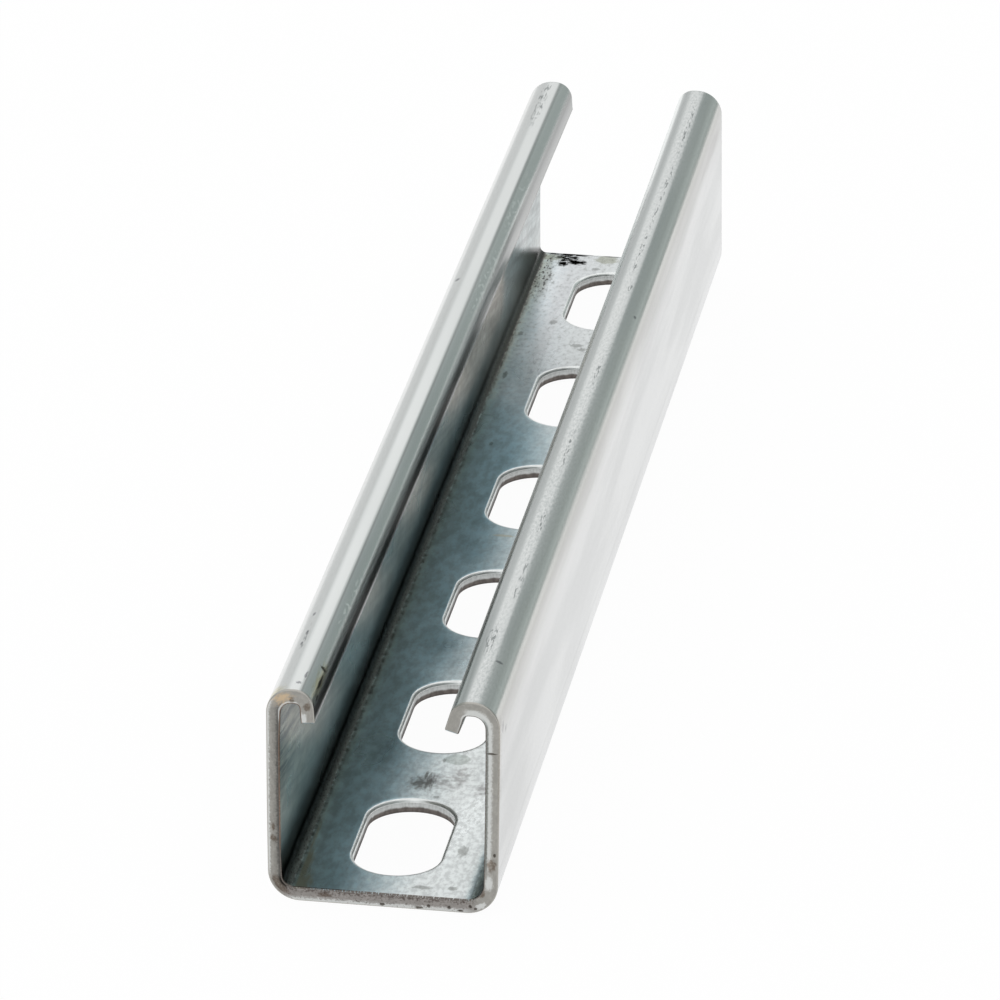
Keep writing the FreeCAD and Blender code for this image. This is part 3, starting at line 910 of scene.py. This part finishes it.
    # Painted shade across the right side: a dark painted reflection stripe where the bend starts, then
    # shade from the bend up the wall, lightening upwards and darker again under the lip.
    right_bend = p.stops(aside, [
        (13.9, 1), (14.6, (0.85, 0.88, 0.88)), (15.1, (0.48, 0.54, 0.56)), (15.5, (0.42, 0.5, 0.52)),
        (15.9, (0.95, 1.06, 1.08)), (16.5, (0.95, 1.06, 1.06)), (17.1, (0.38, 0.42, 0.42)),
        (18.5, (0.25, 0.28, 0.28)), (24, (0.3, 0.33, 0.33)), (34, 0.8), (50, (0.55, 0.54, 0.52)),
    ])
    corner = p.mix(p.ramp(across, -1, 1), corner, right_bend)
    tone = p.dyed(web, corner)
    brushed = p.noise(p.slant(across, along, -0.217), along, 1.6, 60, seed=19)
    on_wall = p.ramp(across, -22, -26)
    tone = p.tinted(tone, p.times(on_wall, p.ramp(brushed, 0.4, 0.62)), 0.78)
    gritty = p.times(p.line(-17.6, 0.7, 0.5, 600), p.ramp(grit, 0.62, 0.72))
    tone = p.mix(p.times(gritty, 0.5), tone, (0.12, 0.11, 0.1))
    dirty = p.times(p.line(-17.6, 1.2, 0.4, 600), p.ramp(grit, 0.36, 0.46, 1, 0))
    tone = p.mix(dirty, tone, (0.012, 0.012, 0.01))
    olive = p.marks([
        (-15.6, 8, 1, 8, 0.5, 0.6), (-15, 1.5, 1.7, 5, 0.5, 0.6), (-16.2, 19, 0.6, 8, 0.5, 0.6),
    ])
    olive = p.times(olive, p.ramp(across, -16.3, -15.7))
    tone = p.mix(p.times(olive, 0.75), tone, (0.36, 0.34, 0.22))
    soiled = p.marks([(-15.4, 290, 1.9, 13, 0.6, 0.6), (-16.9, 262, 0.7, 40)])
    tone = p.tinted(tone, soiled, (0.6, 0.59, 0.56))
    speck = p.ramp(p.noise(across, along, 0.5, 1.3, detail=2, rough=0.5, seed=23), 0.56, 0.62)
    tone = p.mix(p.times(soiled, speck), tone, (0.05, 0.05, 0.045))
    smear = p.marks([
        (-0.9, 45.4, 1.5, 2.1, 0.9, 0.8), (0.7, 46, 0.8, 2.8, 0.9, 0.8),
        (-0.2, 48.3, 0.3, 1.8, 0.6, 0.6),
    ])
    tone = p.mix(p.times(smear, 0.85), tone, (0.1, 0.1, 0.09))
    stained = p.marks([
        (2.6, 46.2, 3.2, 2.6, 0.8, 0.6), (5.8, 48.5, 1.4, 3.4, 0.8, 0.6), (10.6, 44, 1, 2.6, 0.8, 0.6),
    ])
    tone = p.tinted(tone, p.times(stained, p.ramp(fine, 0.26, 0.62)), (0.56, 0.54, 0.54))
    oval = p.marks([(4.3, 56.1, 2.3, 2.2, 0.15, 0.12), (4.3, 56.1, 1.9, 1.8, 0.1, 0.3)])
    tone = p.tinted(tone, oval, (0.72, 0.74, 0.72))
    spots = p.marks([
        (2, 55.4, 0.3, 0.8), (11.2, 19, 0.9, 2), (11.8, 4, 0.8, 0.7), (3, 40, 0.5, 0.6),
        (6.3, 3.6, 1.6, 0.7), (-14.8, 235, 0.4, 1.8), (-12.2, 200, 0.35, 0.9), (-3, 252.5, 1.2, 0.9),
        (-9.5, 264, 0.7, 1.2), (-15, 257, 0.5, 1), (-1.6, 250.6, 0.8, 0.8), (-5, 294, 0.8, 0.7),
    ])
    tone = p.tinted(tone, spots, (0.55, 0.55, 0.54))
    worn = p.marks([(-3.6, 299.3, 2.2, 2), (-15, 299, 2.5, 1.5)])
    tone = p.tinted(tone, worn, (0.62, 0.62, 0.54))
    chips = p.marks([
        (-12.2, 296.4, 0.9, 2), (-9.4, 297, 1.7, 1.3), (-11.6, 299.4, 2, 1.2), (-10.4, 298.2, 1.3, 1.1),
        (-11.5, 301.2, 4.2, 0.8, 0.7), (-2.5, 301.4, 1.6, 0.3, 0.6),
    ])
    chips = p.times(chips, p.ramp(fine, 0.62, 0.54, 0.35, 1))
    tone = p.mix(chips, tone, (0.02, 0.018, 0.015))
    faint = p.mark(-2.9, 156.2, 1.9, 0.5, 0.4)
    tone = p.mix(p.times(faint, 0.5), tone, (0.62, 0.56, 0.38))
    warm = p.times(p.ramp(along, 55, 10), p.ramp(across, -24, -32))
    tone = p.tinted(tone, warm, (1.08, 1.02, 0.97))
    tool = p.noise(p.slant(across, along, -0.157), along, 0.75, 16, detail=2, rough=0.6, seed=37)
    tooled = p.mark(-45.5, 2, 9, 21, 0.25, 0.5)
    tone = p.tinted(tone, p.times(tooled, p.ramp(tool, 0.5, 0.43)), 0.32)
    tone = p.tinted(tone, p.times(tooled, p.ramp(tool, 0.54, 0.62)), (1.3, 1.3, 1.27))
    near_edge = p.times(p.ramp(along, 0.5, 0.3), p.ramp(grit, 0.66, 0.5, 0.4, 1))
    tone = p.mix(near_edge, tone, (0.17, 0.15, 0.135))
    # The left wall short of its far end: a warm tone, and painted light that lightens the wall from
    # about 100 mm on and turns it bluer towards the far end.
    wall_tone_and_light = p.times(on_wall, p.ramp(along, 257, 248))
    tone = p.tinted(tone, wall_tone_and_light, (1.2, 0.93, 0.78))
    tone = p.tinted(tone, p.times(wall_tone_and_light, p.ramp(along, 95, 155)), (1.56, 1.49, 1.5))
    tone = p.tinted(tone, p.times(wall_tone_and_light, p.ramp(along, 170, 225)), (1.06, 1.18, 1.28))
    tone = p.tinted(tone, p.times(on_wall, p.mark(-32, 42, 16, 17, 0.1, 0.5)), 0.86)
    rough = p.ramp(cloud, 0.3, 0.7, finish.inside_roughness - 0.03, finish.inside_roughness + 0.04)
    # Painted shade in the glancing reflections of the bends and low on the walls, gone at the far end.
    glancing = p.stops(aside, [
        (17.3, 1), (18, 0.75), (18.6, 0.42), (19.2, 0.44), (20, 0.55), (22, 0.54), (23, 0.67),
        (24.5, 0.9), (26, 1),
    ])
    glancing = p.mix(p.ramp(along, 200, 275), glancing, 1)
    glancing = p.tinted(glancing, p.times(wall_tone_and_light, p.ramp(along, 55, 140)), (1, 0.9, 0.87))
    glancing = p.tinted(glancing, chips, 0.15)
    p.metal(tone, rough, mottle, strength=0.04, edge=glancing)
    return material


def cut_steel(finish):
    """Saw-cut steel, brownish grey, with bright strips along its edges, flecks and stains.

    The bright strips are partly worn steel and partly painted highlight.
    """
    material, p = new_material("cut_steel")
    across, depth = p.place()
    fleck = p.noise(across, depth, 0.5, 0.5, detail=5, rough=0.65)
    cloud = p.noise(across, depth, 1.8, 1.2, rough=0.6, seed=23)
    uneven = p.even(p.noise(across, depth, 0.45, 0.45, rough=0.65, seed=29), 0.25, 0.75, -0.3, 0.3)
    level = p.plus(depth, uneven)
    tone = p.mix(p.ramp(cloud, 0.35, 0.65), scaled(finish.cut, 1.06), scaled(finish.cut, 0.88))
    tone = p.mix(p.ramp(fleck, 0.3, 0.7, 0, 0.7), tone, scaled(finish.cut, 0.86))
    on_web = p.stretch(-1, 18, 0.1, 0.12)
    tone = p.tinted(tone, on_web, (0.84, 0.81, 0.83))
    on_left = p.stretch(-38, 20, 0.1, 0.12)
    fading = p.stops(level, [(0.5, 1), (1.1, 0.9), (1.8, 0.72), (2.1, 0.44), (2.4, 0.3)])
    tone = p.mix(on_left, tone, p.dyed(tone, fading))
    # Bright strips and pale patches, mixed towards the zinc's colour: partly worn steel, and partly
    # painted highlight, as along the web's lower edge.
    low = p.times(p.ramp(level, 1, 0.5), p.stretch(-1, 16.5, 0.2, 0.1))
    left_edge = p.times(p.ramp(level, 0.6, 0.2), p.stretch(-40, 16, 0.2, 0.1))
    right_edge = p.times(p.ramp(level, 1, 1.7), p.ramp(level, 2.4, 2.1), p.stretch(45, 18))
    pale = p.marks([
        (24, 1.7, 1.5, 0.8), (18, 0.7, 1.2, 0.6), (-69, 2.2, 1, 0.7), (59, 2.2, 4, 0.7),
        (-10, 0.3, 6, 0.35), (64.5, 2.6, 4.5, 0.4), (-58, 2.6, 6, 0.35),
    ])
    shine = p.most(low, left_edge, right_edge, pale)
    tone = p.mix(p.times(shine, 0.62), tone, finish.outside)
    dark_line = p.times(p.ramp(depth, 2.1, 2.3), p.stretch(42, 16))
    tone = p.tinted(tone, dark_line, (0.62, 0.66, 0.66))
    top_fleck = p.times(p.ramp(level, 1.5, 2.2), p.ramp(fleck, 0.44, 0.58))
    chip = p.times(on_web, p.most(top_fleck, p.ramp(fleck, 0.6, 0.68)))
    tone = p.tinted(tone, chip, (0.42, 0.38, 0.36))
    brown = p.marks([
        (-20, 1.4, 3.4, 1), (27.6, 1.2, 1.2, 0.9), (-30.2, 1.3, 0.6, 0.8), (-32.4, 1.2, 0.7, 0.35),
        (-66.5, 1.1, 1, 0.8), (-61.2, 1.9, 0.6, 0.6), (20.5, 2.5, 1.2, 0.5), (-10.3, 1.6, 1.2, 0.5),
    ])
    tone = p.tinted(tone, p.times(brown, p.ramp(fleck, 0.25, 0.55, 0.5, 1)), (0.5, 0.43, 0.38))
    tan = p.mark(-58.9, 1.1, 1.8, 1, 0.9, 0.8)
    tone = p.mix(p.times(tan, 0.8), tone, (0.66, 0.5, 0.32))
    black = p.marks([
        (-0.1, 0.4, 0.5, 0.3), (6.5, 0.3, 0.7, 0.25), (8.2, 0.8, 0.3, 0.4), (11.8, 0.8, 0.3, 0.4),
        (15.8, 1.3, 0.4, 0.4), (29.6, 0.6, 0.35, 0.3), (49.2, 1.6, 0.18, 1.2), (13.8, 0.3, 0.5, 0.25),
        (-20.5, 2.5, 2.4, 0.5), (16.8, 0.6, 0.35, 0.25),
    ])
    tone = p.tinted(tone, black, (0.22, 0.2, 0.18))
    off_seam = p.math("ABSOLUTE", p.math("SUBTRACT", level, 0.62))
    seam = p.times(p.ramp(off_seam, 0.14, 0.06), p.stretch(-8, 15, 0.1, 0.2, depth=0.6))
    tone = p.tinted(tone, p.times(seam, p.ramp(cloud, 0.4, 0.52)), (0.45, 0.42, 0.4))
    rough = p.ramp(shine, 0, 1, 0.5, 0.28)
    p.metal(tone, rough, fleck, strength=0.35, metallic=0.8)
    return material


def slot_wall(finish):
    """A punched wall: a light burnished band above, torn brown steel below."""
    material, p = new_material("slot_wall")
    around, depth = p.place()
    ragged = p.noise(around, depth, 1, 2.5, detail=4)
    drawn = p.noise(around, depth, 0.5, 3, rough=0.6, seed=31)
    level = p.plus(depth, p.even(ragged, 0.3, 0.7, -0.12, 0.12))
    outside = finish.outside
    burnished = p.mix(p.ramp(drawn, 0.4, 0.65), scaled(outside, 0.86), scaled(outside, 0.74))
    torn = p.mix(p.ramp(ragged, 0.4, 0.6), finish.fracture, scaled(finish.fracture, 0.75))
    torn = p.mix(p.ramp(level, 2, 2.6), torn, scaled(finish.fracture, 0.6))
    tone = p.mix(p.ramp(level, 1.25, 1.75), burnished, torn)
    shaded = p.times(p.ramp(around, -44, -39), p.ramp(level, 0.8, 1.15))
    tone = p.tinted(tone, shaded, (0.28, 0.25, 0.23))
    p.metal(tone, p.ramp(level, 1.25, 1.75, 0.45, 0.6), ragged, strength=0.2, metallic=0.75)
    return material


def slot_rim(finish):
    """The bright rolled rim of a slot."""
    material, p = new_material("slot_rim")
    across, along = p.place()
    cloud = p.noise(across, along, 1.5, 1.5)
    tone = p.mix(p.ramp(cloud, 0.4, 0.7), scaled(finish.outside, 1.26), scaled(finish.outside, 1.12))
    p.metal(tone, 0.3, cloud, strength=0.05, metallic=0.85)
    return material


def lip_edge(finish):
    """The slit edge of the strip, along a lip's free end."""
    material, p = new_material("lip_edge")
    depth, along = p.place()
    cloud = p.noise(depth, along, 0.5, 3)
    tone = p.mix(p.ramp(cloud, 0.4, 0.7), finish.inside, finish.shade)
    p.metal(tone, 0.4, cloud, strength=0.2)
    return material


class STRUT_OT_channel(bpy.types.Operator):
    """Build the strut channel's surface and its zinc finish"""

    bl_idname = "strut.channel"
    bl_label = "Build channel"

    def execute(self, context):
        sizes, finish = context.scene.strut_sizes, context.scene.strut_finish
        mesh = channel_surface(sizes).mesh("channel_strip")
        for make in (outside_zinc, inside_zinc, cut_steel, slot_wall, slot_rim, lip_edge):
            mesh.materials.append(make(finish))
        piece = bpy.data.objects.new("channel_strip", mesh)
        context.scene.collection.objects.link(piece)
        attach(piece, "root")
        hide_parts(NODE)
        return {"FINISHED"}


FLOOR_HALF, FLOOR_LEVEL, FLOOR_GLOW = 0.6, -0.0003, 0.96
PANEL_SIZE, PANEL_PLACE = (1.2, 0.8), (-0.2, 0.3, 1.6)

# Bearings from the length's axis in radians with their soft edge, and levels as a direction's z.
DIM_SIDE, DIM_TOP = (0.06, 1.1, 0.10), (0.40, 0.60)
WINDOW, WINDOW_SILL = (-0.28, 0.06, 0.05), (0.26, 0.34)
CEILING = (0.45, 0.62)


def floor_material(studio):
    """A plain white floor that keeps its shadow and still looks white to camera and metal."""
    material, p = new_material("plain_floor")
    light = p.node("ShaderNodeLightPath")
    seen = p.most(*[light.outputs[f"Is {kind} Ray"] for kind in ("Camera", "Glossy", "Transmission")])
    matt = p.node("ShaderNodeBsdfDiffuse")
    p.feed(matt.inputs["Color"], studio.floor)
    glow = p.node("ShaderNodeEmission")
    mixed = p.node("ShaderNodeMixShader")
    parts = (p.times(seen, FLOOR_GLOW), matt.outputs[0], glow.outputs[0])
    for socket, value in zip(mixed.inputs, parts):
        p.feed(socket, value)
    p.finish("ShaderNodeOutputMaterial", mixed)
    return material


def white_room(world, studio):
    """Pale surroundings: white to the camera, and in the metal a bright window beside a dim side."""
    world.use_nodes = True
    p = Pattern(world.node_tree)
    light = p.node("ShaderNodeLightPath")
    split = p.node("ShaderNodeSeparateXYZ")
    p.feed(split.inputs[0], p.node("ShaderNodeTexCoord").outputs["Generated"])
    x, y, z = split.outputs
    bearing = p.math("ARCTAN2", x, y)

    def between(low, high, soft):
        rising = p.ramp(bearing, low - soft, low + soft)
        return p.times(rising, p.ramp(bearing, high - soft, high + soft, 1.0, 0.0))

    dim = p.times(between(*DIM_SIDE), p.ramp(z, *DIM_TOP, 1.0, 0.0))
    tone = p.mix(dim, studio.room, studio.dim_side)
    window = p.times(between(*WINDOW), p.ramp(z, *WINDOW_SILL))
    tone = p.mix(p.most(window, p.ramp(z, *CEILING)), tone, studio.window)
    tone = p.mix(light.outputs["Is Camera Ray"], tone, 1.0)
    back = p.node("ShaderNodeBackground")
    p.feed_all(back, Color=tone, Strength=studio.sky)
    p.finish("ShaderNodeOutputWorld", back)


class STRUT_OT_stage(bpy.types.Operator):
    """Lay the floor, set the lights and place the camera"""

    bl_idname = "strut.stage"
    bl_label = "Set stage"

    def execute(self, context):
        scene, studio = context.scene, context.scene.strut_studio
        scene.view_settings.view_transform = "Standard"
        mesh = bpy.data.meshes.new("floor")
        signs = [(-1, -1), (1, -1), (1, 1), (-1, 1)]
        corners = [(x * FLOOR_HALF, y * FLOOR_HALF, FLOOR_LEVEL) for x, y in signs]
        mesh.from_pydata(corners, [], [(0, 1, 2, 3)])
        mesh.materials.append(floor_material(studio))
        floor = bpy.data.objects.new("floor", mesh)
        scene.collection.objects.link(floor)
        world = bpy.data.worlds.new("white_room")
        white_room(world, studio)
        scene.world = world
        panel = bpy.data.lights.new("panel", "AREA")
        panel.shape = "RECTANGLE"
        panel.size, panel.size_y = PANEL_SIZE
        panel.energy = studio.panel
        lamp = bpy.data.objects.new("panel", panel)
        lamp.location = PANEL_PLACE
        lamp.visible_glossy = False
        scene.collection.objects.link(lamp)
        set_camera(scene, studio)
        return {"FINISHED"}


TARGET = np.array([0.0, -0.0008, 0.020])
TARGET_PIXEL = np.array([514.26, 466.416])
PICTURE_MIDDLE = 500.0
PICTURE_WIDTH = 1000.0
SENSOR_WIDTH = 36.0
CLIPPED = (0.05, 20.0)


def set_camera(scene, studio):
    """The camera stands off the target by its distance, turned by azimuth, elevation and roll."""
    az, el, roll = studio.azimuth, studio.elevation, studio.roll
    ahead = np.array([-math.sin(az) * math.cos(el), math.cos(az) * math.cos(el), -math.sin(el)])
    right = np.cross(ahead, (0.0, 0.0, 1.0))
    right /= np.linalg.norm(right)
    down = np.cross(ahead, right)
    cos, sin = math.cos(roll), math.sin(roll)
    right, down = cos * right + sin * down, cos * down - sin * right
    lens = studio.focal * MILLIMETRES
    focal_pixels = lens / SENSOR_WIDTH * PICTURE_WIDTH
    beside, below = (TARGET_PIXEL - PICTURE_MIDDLE) / focal_pixels
    place = TARGET - studio.distance * (ahead + beside * right + below * down)
    data = bpy.data.cameras.new("camera")
    data.sensor_width = SENSOR_WIDTH
    data.lens = lens
    data.clip_start, data.clip_end = CLIPPED
    camera = bpy.data.objects.new("camera", data)
    turn = np.eye(4)
    turn[:3, 0], turn[:3, 1], turn[:3, 2], turn[:3, 3] = right, -down, -ahead, place
    camera.matrix_world = Matrix(turn.tolist())
    scene.collection.objects.link(camera)
    scene.camera = camera


class STRUT_PT_panel(bpy.types.Panel):
    """Lists the channel's sizes, its finish, the studio and the two build steps"""

    bl_label = "Strut channel"
    bl_idname = "STRUT_PT_panel"
    bl_space_type = "VIEW_3D"
    bl_region_type = "UI"
    bl_category = "Strut"

    def draw(self, context):
        scene = context.scene
        for group in (scene.strut_sizes, scene.strut_finish, scene.strut_studio):
            box = self.layout.box()
            for name in group.__annotations__:
                box.prop(group, name)
        self.layout.operator(STRUT_OT_channel.bl_idname)
        self.layout.operator(STRUT_OT_stage.bl_idname)


CLASSES = (ChannelSizes, ZincFinish, StudioSettings, STRUT_OT_channel, STRUT_OT_stage, STRUT_PT_panel)


def register():
    """Registers the classes and gives the scene its three groups of settings."""
    for each in CLASSES:
        bpy.utils.register_class(each)
    bpy.types.Scene.strut_sizes = bpy.props.PointerProperty(type=ChannelSizes)
    bpy.types.Scene.strut_finish = bpy.props.PointerProperty(type=ZincFinish)
    bpy.types.Scene.strut_studio = bpy.props.PointerProperty(type=StudioSettings)


def unregister():
    """Takes back what register has done."""
    del bpy.types.Scene.strut_studio
    del bpy.types.Scene.strut_finish
    del bpy.types.Scene.strut_sizes
    for each in reversed(CLASSES):
        bpy.utils.unregister_class(each)


def main():
    """Builds the channel and its stage."""
    register()
    bpy.ops.strut.channel()
    bpy.ops.strut.stage()


if __name__ == "__main__":
    main()
